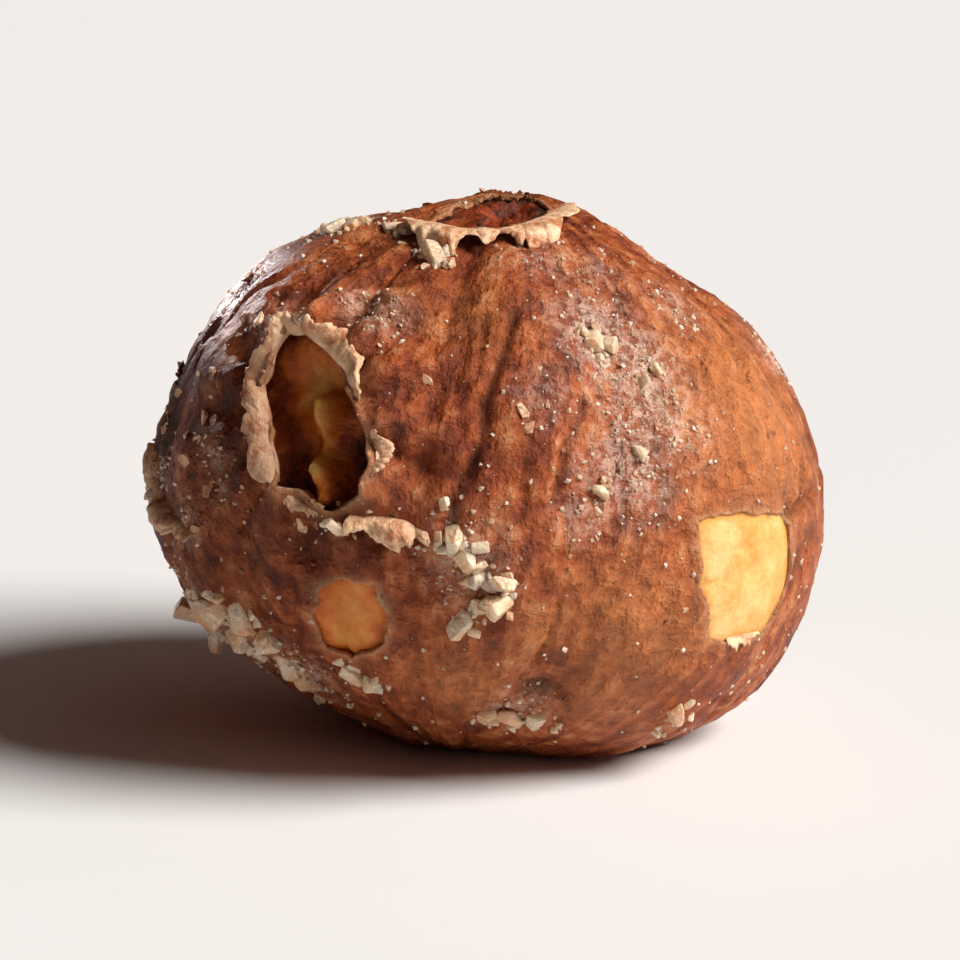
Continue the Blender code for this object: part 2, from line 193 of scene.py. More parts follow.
# The kernel's form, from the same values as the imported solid
form = {
    # its outline from the front, x and height, smoothed into a few waves round the middle
    "outline": [
        (7.15, 5.1), (6.95, 6.6), (6.2, 7.85), (5.2, 9.05), (4.0, 9.95), (2.6, 10.7), (1.1, 11.15),
        (-0.7, 11.2), (-3.5, 10.65), (-4.8, 10.05), (-5.7, 9.1), (-6.55, 7.6), (-7.15, 5.7), (-7.05, 4.3),
        (-6.5, 3.05), (-5.2, 1.75), (-3.2, 0.35), (-1.2, -0.4), (1.0, -0.5), (3.2, -0.35), (4.8, 0.3),
        (6.1, 1.6), (6.85, 3.15),
    ],
    "outlineWaves": 6, "depthFront": 6.5, "depthBack": 6.3, "middleHeight": 5.75, "roundness": 2.05,
    "tipAxis": (0.10, 0.24, 0.96), "tipHeight": 0.4, "tipSpread": 0.22,
    # furrows from tip to base, which stray round it: how far, how often, from where
    "furrows": 11, "furrowDepth": 0.3, "furrowPower": 0.8, "furrowRise": 0.7,
    "furrowStray": [(0.22, 2, 1.1), (0.12, 3, 2.3)],
    # broad swells: direction, height, spread
    "swells": [((-0.45, -0.6, -0.65), -0.4, 0.42), ((0.3, -0.5, -0.8), -0.15, 0.4),
               ((-0.2, 0.9, 0.1), 0.15, 0.5)],
    # puckers and a raised rim round the widest tear, in mm from its middle
    "tearMiddle": (-3.75, 7.0), "puckers": 11, "puckerDepth": 0.13, "puckerStart": 0.6, "puckerAt": 2.1,
    "puckerReach": 0.9, "rimHeight": 0.18, "rimAt": 1.75, "rimReach": 0.5,
    "viewBottom": -0.35,  # a view's heights are counted from here, mm from where the kernel stands
    "standShift": (0.14, 0.1),
    "outside": 12.0, "halvings": 40,  # a search for the surface starts this many mm out
}
middleHeight = form["middleHeight"]
farOff = 9.0  # mm, further than any place whose distance matters
seedStep = 17.3  # how far apart two seeds read the noise


def unit(vectors):
    vectors = np.asarray(vectors, float)
    return vectors / np.linalg.norm(vectors, axis=-1, keepdims=True)


def waveTerms(angles):
    columns = [np.ones_like(angles)]
    for wave in range(1, form["outlineWaves"] + 1):
        columns += [np.cos(wave * angles), np.sin(wave * angles)]
    return np.stack(columns, axis=-1)


def fitOutline():
    points = np.array(form["outline"]) - (0.0, middleHeight)
    angles = np.arctan2(points[:, 1], points[:, 0])
    return np.linalg.lstsq(waveTerms(angles), np.hypot(points[:, 0], points[:, 1]), rcond=None)[0]


outlineCurve = fitOutline()
tip = unit(form["tipAxis"])
tipSide = unit(np.cross((0.0, 1.0, 0.0), tip))
tipFront = np.cross(tipSide, tip)


def kernelRadius(dirs):
    # the kernel with its broad swells, its tip and its furrows
    front = waveTerms(np.arctan2(dirs[:, 2], dirs[:, 0])) @ outlineCurve
    across = np.hypot(dirs[:, 0], dirs[:, 2])
    halfDepth = np.where(dirs[:, 1] < 0, form["depthFront"], form["depthBack"])
    power = (across / front) ** form["roundness"] + (np.abs(dirs[:, 1]) / halfDepth) ** form["roundness"]
    radius = power ** (-1 / form["roundness"])
    for towards, height, spread in form["swells"]:
        radius += height * np.exp((dirs @ unit(towards) - 1) / spread ** 2)
    around = np.arctan2(dirs @ tipSide, dirs @ tipFront)
    along = np.sqrt(np.clip(1 - (dirs @ tip) ** 2, 0, 1))
    uneven = around
    for most, often, start in form["furrowStray"]:
        uneven = uneven + most * np.sin(often * around + start)
    ridges = np.abs(np.sin(form["furrows"] * uneven / 2)) ** form["furrowPower"] - form["furrowRise"]
    radius += form["furrowDepth"] * along ** 2 * ridges
    return radius + form["tipHeight"] * np.exp((dirs @ tip - 1) / form["tipSpread"] ** 2)


@cache
def seenAt(azimuth, x, height):
    # from the kernel's middle to the point seen at x and height in the view from azimuth
    tilt = math.radians(studio["lookDown"])
    turn = math.radians(azimuth)
    right = np.array((math.cos(turn), math.sin(turn), 0.0))
    inwards = np.array((-math.sin(turn) * math.cos(tilt), math.cos(turn) * math.cos(tilt), -math.sin(tilt)))
    up = np.cross(right, inwards)
    across = right * x + up * (height - middleHeight * math.cos(tilt) + form["viewBottom"])
    near, far = -form["outside"], 0.0
    for _ in range(form["halvings"]):
        half = (near + far) / 2
        point = across + inwards * half
        outside = np.linalg.norm(point) > kernelRadius(unit(point)[None, :])[0]
        near, far = (half, far) if outside else (near, half)
    return unit(across + inwards * far)


def fractal(dirs, perMm, octaves, seed, stretch=1.0):
    # noise on the surface; a stretch over 1 draws it out from tip to base
    if stretch == 1.0:
        spots = dirs * middleHeight
    else:
        spots = fibreOf(dirs, 1 / stretch)
    return np.array([noise.fractal(Vector(s), 1.0, 2.0, octaves) for s in spots * perMm + seed * seedStep])


def bumps(dirs, pattern):
    # a pattern is its height, waves a mm, octaves, seed and perhaps a stretch
    return pattern[0] * fractal(dirs, *pattern[1:])


def fibreOf(dirs, squeeze):
    # a place round and along the kernel, in mm, squeezed along it, for grain that runs from tip to base
    around = np.arctan2(dirs @ tipSide, dirs @ tipFront)
    height = np.arccos(np.clip(dirs @ tip, -1, 1))
    return np.stack([np.cos(around), np.sin(around), height * squeeze], axis=-1) * middleHeight


def spotAway(dirs, azimuth, x, y):
    # mm over the surface to the place that is seen at x and y from azimuth
    return np.arccos(np.clip(dirs @ seenAt(azimuth, x, y), -1, 1)) * middleHeight


def spotWeight(dirs, spots):
    # spots are x and height from the front, reach in mm and weight
    weight = np.zeros(len(dirs))
    for x, y, reach, most in spots:
        weight = np.maximum(weight, most * np.exp(-((spotAway(dirs, 0, x, y) / reach) ** 2)))
    return weight


def segmentAway(points, a, b):
    run = b - a
    share = np.clip(((points - a) @ run) / (run @ run), 0, 1)
    return np.linalg.norm(points - a - share[:, None] * run, axis=1)


def lineAway(dirs, places):
    # mm from each direction to a line drawn through places seen from the front
    line = np.array([seenAt(0, x, y) for x, y in places])
    nearest = np.full(len(dirs), farOff)
    for a, b in zip(line, line[1:]):
        nearest = np.minimum(nearest, segmentAway(dirs, a, b))
    return nearest * middleHeight


def inPlace(points):
    # mm from the kernel's middle, to metres where it stands
    return (points + (*form["standShift"], middleHeight)) * mm


def ballGrid(cells):
    # an even grid of directions, from a cube's six faces, as triangles
    bm = bmesh.new()
    bmesh.ops.create_cube(bm, size=2.0)
    bmesh.ops.subdivide_edges(bm, edges=bm.edges, cuts=cells - 1, use_grid_fill=True)
    bmesh.ops.triangulate(bm, faces=bm.faces)
    dirs = unit(np.tan(np.array([v.co for v in bm.verts]) * math.pi / 4))
    faces = np.array([[v.index for v in f.verts] for f in bm.faces])
    bm.free()
    return dirs, faces


def makePiece(name, points, faces, material, attributes):
    mesh = bpy.data.meshes.new(name)
    mesh.from_pydata(np.asarray(points).tolist(), [], np.asarray(faces).tolist())
    for key, values in attributes.items():
        kind = "FLOAT" if values.ndim == 1 else "FLOAT_VECTOR"
        layer = mesh.attributes.new(key, kind, "POINT")
        layer.data.foreach_set("value" if kind == "FLOAT" else "vector", values.astype(np.float32).ravel())
    mesh.shade_smooth()
    if material:
        mesh.materials.append(material)
    return newObject(name, mesh)


def finishPiece(piece):
    pieces.objects.link(piece)
    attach(piece, "root")
    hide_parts(node)


# Bare places: name, view azimuth, how far the skin's edge is lifted, how brown the flesh is, corners
bare = {
    "places": [
        ("tear", 0, 0.2, 0.62, [
            (-3.95, 8.8), (-3.4, 8.4), (-2.95, 8.0), (-2.75, 7.3), (-2.4, 6.7), (-2.25, 6.0), (-2.4, 5.3),
            (-3.0, 5.0), (-3.7, 5.4), (-4.25, 5.5), (-4.4, 6.5), (-4.65, 7.5), (-4.3, 8.1)]),
        ("squarePatch", 0, 0.03, 0.0, [
            (4.3, 4.85), (5.3, 4.95), (6.2, 5.0), (6.3, 4.1), (6.25, 3.4), (5.8, 2.5), (5.2, 2.3),
            (4.6, 2.25), (4.45, 3.5)]),
        # the round patch's flesh is browner partly as painted shade
        ("roundPatch", 0, 0.06, 0.3, [
            (-2.05, 2.85), (-2.3, 3.45), (-2.85, 3.65), (-3.45, 3.35), (-3.6, 2.8), (-3.3, 2.2), (-2.75, 2.0),
            (-2.2, 2.25)]),
        ("tipNotch", 0, 0.03, 0.74, [
            (1.35, 11.35), (0.9, 11.7), (0.2, 11.75), (-0.6, 11.5), (-1.15, 11.1), (-0.6, 10.8), (0.2, 10.8),
            (0.95, 11.0)]),
        ("backPatch", 165, 0.12, 0.1, [
            (2.9, 8.6), (1.6, 9.1), (0.3, 8.5), (-0.4, 7.3), (0.2, 6.3), (1.3, 5.7), (2.4, 6.2), (3.4, 7.1)]),
        ("leftPatch", 250, 0.1, 0.25, [
            (2.25, 5.3), (1.8, 5.6), (1.5, 6.0), (0.7, 5.75), (0.3, 5.3), (0.15, 4.6), (0.6, 4.35),
            (0.9, 3.9), (1.6, 4.2), (1.9, 4.75)]),
        ("rightPatch", 108, 0.08, 0.05, [
            (1.8, 7.7), (1.5, 8.2), (0.8, 8.3), (0.4, 7.9), (0.1, 7.6), (0.4, 7.0), (1.0, 6.7), (1.4, 7.0)]),
    ],
    "ragged": [(0.1, 1.6, 3, 2), (0.05, 4.0, 2, 3)],  # how the torn edge wanders
    "liftReach": 0.22,  # mm over which a lifted edge falls back to the skin
    "liftShare": 0.6, "liftBumps": (2.0, 0.9, 2, 4), "liftLimits": (0.1, 1.5),
    "measuredFrom": 0.4,  # cosine past which a direction is too far round to be near a bare place
    "smallest": 0.004,  # mm from the edge that still count as on it
}


def edgeDistance(dirs, azimuth, corners):
    # mm from each point to the edge of a bare place, below zero inside it
    edge = np.array([seenAt(azimuth, x, y) for x, y in corners])
    middle = unit(edge.mean(axis=0))
    side = unit(np.cross((0.0, 0.0, 1.0), middle))
    up = np.cross(middle, side)
    radius = kernelRadius(middle[None, :])[0]
    facing = dirs @ middle
    depth = np.maximum(facing, bare["measuredFrom"])[:, None]
    flat = np.stack([dirs @ side, dirs @ up], axis=-1) / depth * radius
    loop = np.stack([edge @ side, edge @ up], axis=-1) / (edge @ middle)[:, None] * radius
    nearest = np.full(len(dirs), farOff)
    inside = np.zeros(len(dirs), bool)
    for a, b in zip(loop, np.roll(loop, -1, axis=0)):
        run = b - a
        nearest = np.minimum(nearest, segmentAway(flat, a, b))
        crosses = (a[1] > flat[:, 1]) != (b[1] > flat[:, 1])
        inside ^= crosses & (flat[:, 0] < a[0] + run[0] * (flat[:, 1] - a[1]) / (run[1] or 1.0))
    distance = np.where(inside, -nearest, nearest)
    return np.where(facing > bare["measuredFrom"], distance, farOff)


def cutAway(points, faces, field, attributes):
    # drops what lies where the field is below zero, splitting the triangles along its zero line
    field = np.where(np.abs(field) < bare["smallest"], bare["smallest"], field)
    keep = field > 0
    count = keep[faces].sum(axis=1)
    newPoints, newRows = [points], {k: [v] for k, v in attributes.items()}
    made, extra = {}, []

    def crossing(a, b):
        a, b = min(a, b), max(a, b)
        if (a, b) not in made:
            share = field[a] / (field[a] - field[b])
            newPoints.append((points[a] * (1 - share) + points[b] * share)[None, :])
            for k, v in attributes.items():
                newRows[k].append((v[a] * (1 - share) + v[b] * share)[None, ...])
            made[a, b] = len(points) + len(made)
        return made[a, b]

    for face in faces[(count == 1) | (count == 2)]:
        ring = []
        for i in range(3):
            a, b = int(face[i]), int(face[(i + 1) % 3])
            if keep[a]:
                ring.append(a)
            if keep[a] != keep[b]:
                ring.append(crossing(a, b))
        extra += [(ring[0], ring[i], ring[i + 1]) for i in range(1, len(ring) - 1)]
    used, faces = np.unique(np.concatenate([faces[count == 3], extra]), return_inverse=True)
    return (np.concatenate(newPoints)[used], faces.reshape(-1, 3),
            {k: np.concatenate(v)[used] for k, v in newRows.items()})


# Materials
noiseInputs = ("Scale", "Detail", "Roughness", "Distortion")  # what a texture's row gives, per mm


def newMaterial(name, textures):
    material = bpy.data.materials.new(name)
    material.use_nodes = True
    add = partial(addNode, material.node_tree)
    where = add("ShaderNodeTexCoord").outputs["Object"]
    place = add("ShaderNodeMapping", {"Scale": (1 / mm,) * 3}, {"Vector": where})  # so scales are per mm
    noises = [add("ShaderNodeTexNoise", dict(zip(noiseInputs, row)), {"Vector": place})
              for row in textures.values()]
    return material, add, place, noises


def finishMaterial(material, add, colour, rough, relief, values):
    # relief is textures with their depth in mm, below zero where they sink in, and perhaps what weighs them
    under = {}
    for texture, depth, *weight in relief:
        links = {"Height": texture, **under, **{"Strength": share for share in weight}}
        under = {"Normal": add("ShaderNodeBump", {"Distance": abs(depth) * mm, "invert": depth < 0}, links)}
    shader = material.node_tree.nodes["Principled BSDF"]
    for key, value in values.items():
        shader.inputs[key].default_value = value
    for key, source in {"Base Color": colour, "Roughness": rough, **under}.items():
        material.node_tree.links.new(next(s for s in source.outputs if s.enabled), shader.inputs[key])
    return material


skinLook = {
    # from deep brown to pale rust
    "stops": [(0.355, "#4f1806"), (0.46, "#86350f"), (0.54, "#b25826"), (0.655, "#dc9462")],
    # the near black colour is painted shade as well as scorch, and the frost colour also paints a sheen high
    # on top
    "amber": "#ec9a58", "scorchAndShade": "#260800", "pore": "#431303", "frost": "#e2c3b1", "torn": "#dcaa7c",
    "textures": {"mottle": (1.3, 8, 0.66), "grain": (4.5, 5, 0.7), "grit": (9.0, 3)},
    "fibres": {"streak": (1.5, 6, 0.6), "thread": (4.5, 3)},
    "pebblePerMm": 2.3, "porePerMm": 3.0,
}


def papery():
    # roasted testa: thin, dry, fibrous skin, so it is matt with a little oil, mottled, pitted and creased
    material, add, place, (mottle, grain, grit) = newMaterial("roastedPaperySkin", skinLook["textures"])
    fibre = add("ShaderNodeAttribute", {"attribute_name": "fibre"}).outputs["Vector"]
    streak, thread = (add("ShaderNodeTexNoise", dict(zip(noiseInputs, row)), {"Vector": fibre})
                      for row in skinLook["fibres"].values())
    pebble = add("ShaderNodeTexVoronoi", {"feature": "SMOOTH_F1", "Scale": skinLook["pebblePerMm"],
                                          "Smoothness": 0.4}, {"Vector": place})
    tone = add("ShaderNodeMath", {"operation": "MULTIPLY_ADD", 1: 0.34, 2: 0.075}, {0: mottle})
    for texture, share in ((streak, 0.36), (grain, 0.16), (thread, 0.14), (pebble, -0.14)):
        tone = add("ShaderNodeMath", {"operation": "MULTIPLY_ADD", 1: share}, {0: texture, 2: tone})
    colour = add("ShaderNodeValToRGB", {"stops": skinLook["stops"]}, {"Fac": tone})
    amber, dark, frost, torn, oily = (
        add("ShaderNodeAttribute", {"attribute_name": mark}).outputs["Fac"]
        for mark in ("amber", "dark", "frost", "torn", "oily"))
    uneven = add("ShaderNodeMapRange", {"From Min": 0.35, "From Max": 0.6, "To Min": 1.0, "To Max": 0.55},
                 {"Value": mottle})
    cell = add("ShaderNodeTexVoronoi", {"Scale": skinLook["porePerMm"]}, {"Vector": place})
    pore = add("ShaderNodeMapRange", {"From Min": 0.06, "From Max": 0.26, "To Min": 1.0, "To Max": 0.0},
               {"Value": cell.outputs["Distance"]})
    patch = add("ShaderNodeMapRange", {"From Min": 0.44, "From Max": 0.58, "To Max": 0.6}, {"Value": mottle})
    film = add("ShaderNodeMapRange", {"From Min": 0.44, "From Max": 0.58, "To Min": 0.15}, {"Value": grain})
    # amber in broad patches, the largest over the right side; near black as painted shade over the shaded
    # left side, round the widest tear and in crease bottoms, and as scorch in random marks on the hidden
    # sides;
    # pores in patches, a film of salt dust that also paints a sheen high on top, and the paler layer that a
    # tear lays bare
    shares = {look: add("ShaderNodeMath", {"operation": "MULTIPLY"}, {0: where, 1: broken})
              for look, where, broken in (
                  ("amber", amber, grain), ("scorchAndShade", dark, uneven), ("pore", pore, patch),
                  ("frost", frost, film), ("torn", torn, uneven))}
    for look, share in shares.items():
        colour = add("ShaderNodeMix", {"data_type": "RGBA", "B": skinLook[look]},
                     {"Factor": share, "A": colour})
    rough = add("ShaderNodeMapRange", {"From Min": 0.35, "From Max": 0.65, "To Min": 0.36, "To Max": 0.58},
                {"Value": grain})
    for where, change in ((oily, -0.24), (dark, 0.3)):
        rough = add("ShaderNodeMath", {"operation": "MULTIPLY_ADD", 1: change}, {0: where, 2: rough})
    relief = [(mottle, 0.2), (streak, 0.12), (grain, 0.11), (pebble, -0.12), (shares["pore"], -0.05),
              (thread, 0.07), (grit, 0.03)]
    return finishMaterial(material, add, colour, rough, relief, {"IOR": 1.46, "Specular IOR Level": 0.3})


kernelLook = {
    # from cream through gold, ochre and brown to burnt
    "stops": [(0.0, "#eec480"), (0.14, "#dfa251"), (0.42, "#d06c14"), (0.7, "#93380a"), (1.0, "#2c0e03")],
    "textures": {"cloud": (1.1, 4), "fine": (7.0, 4, 0.6), "scar": (2.6, 6, 0.65, 0.4)},
}


def creamFlesh():
    # oily nut flesh, smooth where the skin came away and brown where it roasted longer, with painted shade
    # and painted light in the widest tear and painted shade in the round patch
    material, add, _, (cloud, fine, scar) = newMaterial("roastedCreamFlesh", kernelLook["textures"])
    roast = add("ShaderNodeAttribute", {"attribute_name": "roast"}).outputs["Fac"]
    charred = add("ShaderNodeMath", {"operation": "MULTIPLY_ADD", 1: 1.4, 2: 0.3}, {0: scar})
    shade = add("ShaderNodeMath", {"operation": "MULTIPLY_ADD", 1: 0.22, 2: -0.33}, {0: fine})
    shade = add("ShaderNodeMath", {"operation": "MULTIPLY_ADD", 1: 0.5}, {0: cloud, 2: shade})
    shade = add("ShaderNodeMath", {"operation": "MULTIPLY_ADD"}, {0: charred, 1: roast, 2: shade})
    colour = add("ShaderNodeValToRGB", {"stops": kernelLook["stops"]}, {"Fac": shade})
    rough = add("ShaderNodeMapRange", {"To Min": 0.35, "To Max": 0.6}, {"Value": cloud})
    return finishMaterial(material, add, colour, rough, [(cloud, 0.08), (fine, 0.03), (scar, 0.3, roast)], {
        "IOR": 1.46, "Subsurface Weight": 0.2, "Subsurface Radius": (1.0, 0.6, 0.3),
        "Subsurface Scale": 0.5 * mm})


flapLook = {
    "stops": [(0.37, "#b8744a"), (0.55, "#f0c8a0")], "outer": "#7c3714",
    "textures": {"cloud": (1.9, 5, 0.65), "fine": (9.0, 3)},
}


def innerSkin():
    # torn skin: pale, dry and fibrous inside, the skin's own brown outside
    material, add, _, (cloud, fine) = newMaterial("tornPaperySkin", flapLook["textures"])
    pale = add("ShaderNodeValToRGB", {"stops": flapLook["stops"]}, {"Fac": cloud})
    inner = add("ShaderNodeAttribute", {"attribute_name": "inner"}).outputs["Fac"]
    colour = add("ShaderNodeMix", {"data_type": "RGBA", "A": flapLook["outer"]}, {"Factor": inner, "B": pale})
    rough = add("ShaderNodeMapRange", {"To Min": 0.45, "To Max": 0.7}, {"Value": fine})
    return finishMaterial(material, add, colour, rough, [(cloud, 0.12), (fine, 0.03)], {})


saltLook = {
    "stops": [(0.38, "#e8b388"), (0.58, "#f8dcbc")], "textures": {"cloud": (1.8, 3), "fine": (11.0, 3)},
}


def saltCrystal():
    # coarse salt: translucent, off-white, rough on its broken faces, with halite's IOR
    material, add, _, (cloud, fine) = newMaterial("coarseSalt", saltLook["textures"])
    colour = add("ShaderNodeValToRGB", {"stops": saltLook["stops"]}, {"Fac": cloud})
    rough = add("ShaderNodeMapRange", {"To Min": 0.08, "To Max": 0.4}, {"Value": fine})
    return finishMaterial(material, add, colour, rough, [(fine, 0.05)], {
        "IOR": 1.544, "Transmission Weight": 0.15, "Subsurface Weight": 0.4,
        "Subsurface Radius": (1.0, 0.8, 0.62), "Subsurface Scale": 0.4 * mm})


# The skin's relief and marks
skin = {
    "cells": 88, "thickness": 0.11,
    # height, waves a mm, octaves, seed and stretch from tip to base
    "lumps": (0.12, 0.33, 3, 5), "flutes": (0.12, 0.45, 2, 7, 4.0), "grit": (0.05, 1.9, 4, 8),
    "folds": (1.0, 0.5, 3, 6, 2.6), "foldDepth": 0.10, "foldWidth": 0.07,
    # creases: places seen from the front, half width, depth, which is below zero for a raised fold
    "creases": [
        ([(0.55, 9.0), (0.3, 8.2), (-0.05, 7.2), (-0.15, 6.3), (-0.65, 5.3), (-0.75, 4.6)], 0.11, 0.19),
        ([(1.95, 7.2), (1.55, 6.2), (1.35, 5.2)], 0.1, 0.14),
        ([(1.2, 7.9), (0.9, 7.1), (0.8, 6.4)], 0.1, 0.1),
        ([(6.25, 4.95), (6.6, 5.15), (6.9, 5.3)], 0.09, 0.2),
        ([(0.85, 1.35), (1.2, 1.4), (1.55, 1.2)], 0.2, 0.2),
        ([(-3.1, 5.3), (-2.7, 4.6), (-2.3, 4.2)], 0.12, 0.18),
        ([(-3.9, 5.4), (-3.9, 4.5), (-3.7, 3.9)], 0.12, 0.16),
        ([(-4.6, 5.4), (-5.1, 4.7)], 0.12, 0.15),
        ([(-2.3, 6.4), (-1.6, 6.0), (-1.1, 5.8)], 0.12, 0.09),
        ([(-2.6, 7.3), (-1.8, 7.4), (-1.2, 7.7)], 0.12, 0.12),
        ([(-3.4, 8.95), (-2.9, 9.35), (-2.2, 9.45), (-1.5, 9.1)], 0.2, -0.2),
        ([(-3.1, 8.85), (-2.5, 9.0), (-1.9, 8.8)], 0.12, 0.14),
        ([(-4.3, 8.9), (-4.4, 9.5)], 0.12, 0.12),
    ],
    # marks: x and height from the front, reach in mm, weight
    "frost": [
        (2.2, 8.7, 0.9, 1.0), (2.9, 8.0, 1.0, 1.0), (3.4, 7.0, 1.0, 0.85), (2.8, 5.8, 0.9, 0.75),
        # the faint film at 1.2, 10.2 and 2.3, 9.9 is a painted sheen on the top, and salt dust follows it too
        (1.9, 4.9, 0.5, 0.5), (1.2, 7.4, 0.6, 0.4), (1.2, 10.2, 0.9, 0.35), (2.3, 9.9, 0.8, 0.35),
        (3.9, 9.3, 0.7, 0.5), (6.2, 8.2, 0.5, 0.6), (-4.4, 8.8, 0.5, 0.7), (-5.6, 2.6, 1.1, 0.8),
        (-0.4, 4.0, 0.8, 0.6), (-2.5, 9.2, 0.4, 0.7), (-2.1, 9.0, 0.5, 0.6), (-4.0, 1.6, 1.0, 0.6),
        (0.6, 0.9, 0.6, 0.6), (-5.6, 6.1, 0.3, 0.45), (-5.5, 5.4, 0.3, 0.4), (-6.8, 5.8, 0.35, 0.7),
        (-6.3, 4.7, 0.4, 0.6),
    ],
    "dark": [
        # painted shade: the shaded left side, the skin round and below the widest tear, and the bottom crease
        (-6.6, 7.6, 2.0, 1.0), (-5.8, 7.3, 1.3, 0.9), (-5.8, 3.7, 1.4, 0.6), (-5.5, 6.2, 1.1, 0.75),
        (-2.0, 6.9, 0.9, 0.4), (-3.2, 5.0, 0.9, 0.9), (-1.6, 8.9, 0.7, 0.4), (-5.9, 8.4, 0.8, 0.8),
        (1.2, 1.3, 0.4, 0.9), (-4.8, 4.4, 1.0, 0.6), (-6.9, 7.0, 1.5, 0.8), (-3.9, 3.6, 0.9, 0.45),
        (-1.9, 5.6, 0.7, 0.3), (2.0, 2.2, 1.2, 0.15),
    ],
    "amber": [
        (5.8, 7.0, 2.4, 1.0), (3.2, 2.6, 1.6, 0.7), (1.1, 2.6, 0.5, 0.9), (-0.3, 9.0, 0.8, 0.5),
        (-2.2, 9.25, 0.6, 0.8), (-0.5, 1.4, 1.2, 0.7), (2.4, 1.2, 1.2, 0.6),
    ],
    "oily": [
        (-5.8, 9.0, 0.6, 0.9), (-5.3, 9.4, 0.9, 1.0), (-4.8, 9.8, 0.8, 1.0), (-4.3, 10.2, 0.6, 0.8),
        (1.6, 9.6, 1.4, 0.5), (4.6, 8.4, 1.4, 0.5), (-1.2, 8.0, 0.8, 0.4), (4.0, 3.4, 1.2, 0.4),
    ],
    # the hidden sides begin here, as a cosine, come in over this much, and have marks by a pattern
    "hiddenFrom": 0.2, "hiddenOver": 0.6, "hiddenMarks": (2.2, 0.28, 3), "hiddenSeed": 20,
    "hiddenLess": 0.1, "hiddenMost": 0.9,
    "frostLeast": 0.03, "creasePaintedShade": 4.0, "creasePaintedShadeMost": 0.75, "fibreSqueeze": 0.28,
    "tornEdge": 0.75, "tornReach": 0.1,
}


def creaseDepth(dirs):
    depth = np.zeros(len(dirs))
    for places, halfWidth, deepest in skin["creases"]:
        depth += deepest * np.exp(-((lineAway(dirs, places) / halfWidth) ** 2))
    return depth


def puckerRelief(dirs):
    middle = seenAt(0, *form["tearMiddle"])
    side = unit(np.cross((0.0, 0.0, 1.0), middle))
    x, y = dirs @ side, dirs @ np.cross(middle, side)
    away = np.hypot(x, y) * middleHeight
    folds = form["puckerDepth"] * np.sin(form["puckers"] * np.arctan2(y, x) + form["puckerStart"])
    folds *= np.exp(-(((away - form["puckerAt"]) / form["puckerReach"]) ** 2))
    rim = form["rimHeight"] * np.exp(-(((away - form["rimAt"]) / form["rimReach"]) ** 2))
    return np.where(dirs @ middle > 0, folds + rim, 0.0)


def skinRelief(dirs):
    # what stands up from or sinks into the kernel's round form, in mm
    relief = bumps(dirs, skin["lumps"]) + bumps(dirs, skin["flutes"])
    relief -= skin["foldDepth"] * np.exp(-((bumps(dirs, skin["folds"]) / skin["foldWidth"]) ** 2))
    return relief + puckerRelief(dirs) - creaseDepth(dirs)


def skinMarks(dirs):
    hidden = np.clip(skin["hiddenFrom"] + dirs[:, 1], 0, skin["hiddenOver"]) / skin["hiddenOver"]
    rows = {"fibre": fibreOf(dirs, skin["fibreSqueeze"])}
    for seed, mark in enumerate(("frost", "dark", "amber", "oily"), skin["hiddenSeed"]):
        chance = bumps(dirs, (*skin["hiddenMarks"], seed)) - skin["hiddenLess"]
        rows[mark] = np.maximum(spotWeight(dirs, skin[mark]), hidden * np.clip(chance, 0, skin["hiddenMost"]))
    rows["frost"] = np.maximum(rows["frost"], skin["frostLeast"])
    # the bottoms of creases are darkened: painted shade
    creases = np.clip(creaseDepth(dirs) * skin["creasePaintedShade"], 0, skin["creasePaintedShadeMost"])
    rows["dark"] = np.maximum(rows["dark"], creases)
    return rows


# The kernel's flesh
flesh = {
    "cells": 76, "below": 0.13, "underSkin": 0.07, "lowest": 0.12, "bumps": (0.03, 0.8, 3, 1),
    # hollows under the widest tears: view azimuth, x, height, reach, depth
    "pits": [(0, -3.75, 7.0, 1.3, 0.6), (0, -2.7, 5.9, 0.7, 0.55), (0, 0.45, 11.5, 0.45, 0.25),
             (165, 1.5, 7.4, 1.4, 0.2)],
    "pitBumps": (0.3, 1.3, 5, 10, 2.0),
    # it stands up by this much in the small bare places, and falls away outside their edges
    "proud": {"tipNotch": 0.08, "squarePatch": 0.12, "roundPatch": 0.1, "rightPatch": 0.1, "leftPatch": 0.06},
    "proudReach": 0.3, "proudFall": 0.15,
    "roast": 0.05, "roastReach": 1.4, "stain": 0.22, "stainReach": 0.14,
    # a sliver of flesh stands in the widest tear
    "sliver": [(-3.6, 7.3), (-3.45, 6.6), (-3.5, 6.0), (-3.3, 5.3)],
    "sliverHeight": 0.85, "sliverWidth": 0.19, "sliverRoast": -0.05,
    "sliverShare": 0.85, "sliverBumps": (0.9, 0.7, 3, 11), "sliverLimits": (0.4, 1.0),
    # x and height from the front, reach in mm, weight: painted shade that browns the flesh in the widest
    # tear, and painted light that makes the tear's left wall golden
    "paintedShadeInTear": [(-2.6, 6.2, 0.8, 1.1), (-3.6, 5.5, 0.6, 0.95), (-2.8, 7.3, 0.45, 0.9),
                 (-4.3, 6.1, 0.4, 0.75)],
    "golden": [(-3.9, 7.8, 0.8, 0.45), (-3.5, 8.1, 0.5, 0.3), (-4.0, 7.0, 0.4, 0.2)],
}


